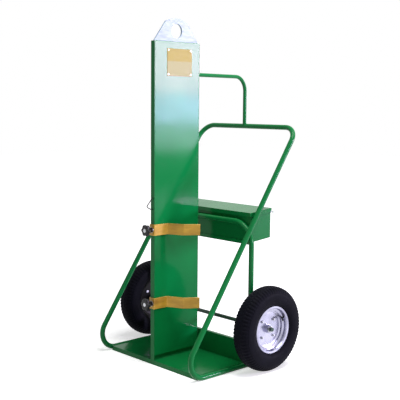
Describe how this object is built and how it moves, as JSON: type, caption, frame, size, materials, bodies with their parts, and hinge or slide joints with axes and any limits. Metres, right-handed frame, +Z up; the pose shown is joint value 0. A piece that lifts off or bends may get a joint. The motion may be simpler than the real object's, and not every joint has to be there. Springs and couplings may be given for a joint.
{
  "type": "gas cylinder cart",
  "caption": "Upright hand cart for a pair of gas cylinders, with a fire wall between the bays, bent tube handle, lidded toolbox and pneumatic wheels.",
  "frame": {"origin": "middle of the footprint, on the floor", "axes": "+X along the axle towards the right wheel, +Y towards the handle bar, +Z up; cylinders are loaded from the -Y side"},
  "size_m": [0.949, 0.7276, 1.6562],
  "materials": {
    "frame_green": "gloss enamel",
    "panel_green": "gloss enamel",
    "fire_board": "matt mineral board",
    "eye_steel": "bright zinc plate",
    "placard_yellow": "satin",
    "rivet_metal": "satin",
    "black_wire": "black",
    "zinc": "zinc plate",
    "gold_zinc": "yellow zinc plate",
    "knob_plastic": "moulded",
    "axle_steel": "cold drawn",
    "bearing_steel": "ground",
    "tyre": "rubber",
    "tube_rubber": "butyl",
    "rim_zinc": "bright zinc",
    "rim_black": "black",
    "valve_rubber": "rubber"
  },
  "bodies": {
    "frame": {"deck_plate": "frame_green", "side_tube_right": "frame_green", "side_tube_left": "frame_green", "handle_bar": "frame_green", "rear_hoop": "frame_green", "top_brace": "frame_green", "firewall_front_bar": "frame_green", "firewall_rear_bar": "frame_green", "firewall_right_skin": "panel_green", "firewall_left_skin": "panel_green", "fire_board": "fire_board", "firewall_foot": "frame_green", "firewall_top_caps": "frame_green", "lifting_eye": "eye_steel", "placard": "placard_yellow", "placard_rivets": "rivet_metal", "hose_hook": "black_wire", "upper_stud": "zinc", "lower_stud": "zinc", "toolbox_rail": "frame_green", "toolbox_body": "frame_green", "hinge_body_leaves": "zinc", "hinge_rod": "zinc", "axle": "axle_steel", "axle_brackets": "frame_green", "axle_collars": "zinc", "axle_washers": "zinc", "cotter_pins": "zinc", "bearing_inner_races": "bearing_steel"},
    "right_wheel": {"right_tyre": "tyre", "right_inner_tube": "tube_rubber", "right_rim_outer": "rim_zinc", "right_rim_inner": "rim_black", "right_rim_bolts": "zinc", "right_hub": "rim_zinc", "right_bearing_outer_races": "bearing_steel", "right_bearing_balls": "bearing_steel", "right_valve": "valve_rubber"},
    "left_wheel": {"left_tyre": "tyre", "left_inner_tube": "tube_rubber", "left_rim_outer": "rim_zinc", "left_rim_inner": "rim_black", "left_rim_bolts": "zinc", "left_hub": "rim_zinc", "left_bearing_outer_races": "bearing_steel", "left_bearing_balls": "bearing_steel", "left_valve": "valve_rubber"},
    "toolbox_cover": {"toolbox_lid": "frame_green", "hinge_lid_leaves": "zinc"},
    "upper_clamp_bar": {"upper_clamp": "gold_zinc", "upper_washer": "zinc"},
    "upper_hand_knob": {"upper_knob": "knob_plastic", "upper_knob_insert": "zinc"},
    "lower_clamp_bar": {"lower_clamp": "gold_zinc", "lower_washer": "zinc"},
    "lower_hand_knob": {"lower_knob": "knob_plastic", "lower_knob_insert": "zinc"}
  },
  "joints": [
    {"name": "right_wheel_spin", "type": "hinge", "parent": "frame", "child": "right_wheel", "pos_m": [0.425, 0.05328, 0.2032], "axis": [1, 0, 0], "continuous": true},
    {"name": "left_wheel_spin", "type": "hinge", "parent": "frame", "child": "left_wheel", "pos_m": [-0.425, 0.05328, 0.2032], "axis": [1, 0, 0], "continuous": true},
    {"name": "toolbox_lid_hinge", "type": "hinge", "parent": "frame", "child": "toolbox_cover", "pos_m": [0, 0.1903, 0.73708], "axis": [-1, 0, 0], "range_deg": [0, 105]},
    {"name": "upper_clamp_slide", "type": "slide", "parent": "frame", "child": "upper_clamp_bar", "axis": [0, -1, 0], "range_m": [0, 0.025]},
    {"name": "upper_knob_turn", "type": "hinge", "parent": "upper_clamp_bar", "child": "upper_hand_knob", "pos_m": [0, -0.3291, 0.659], "axis": [0, -1, 0], "range_deg": [0, 4607.3]},
    {"name": "lower_clamp_slide", "type": "slide", "parent": "frame", "child": "lower_clamp_bar", "axis": [0, -1, 0], "range_m": [0, 0.025]},
    {"name": "lower_knob_turn", "type": "hinge", "parent": "lower_clamp_bar", "child": "lower_hand_knob", "pos_m": [0, -0.3291, 0.3025], "axis": [0, -1, 0], "range_deg": [0, 4607.3]}
  ],
  "couplings": [
    {"joint": "upper_knob_turn", "follows": "upper_clamp_slide", "rad_per_m": 3215.8},
    {"joint": "lower_knob_turn", "follows": "lower_clamp_slide", "rad_per_m": 3215.8}
  ]
}
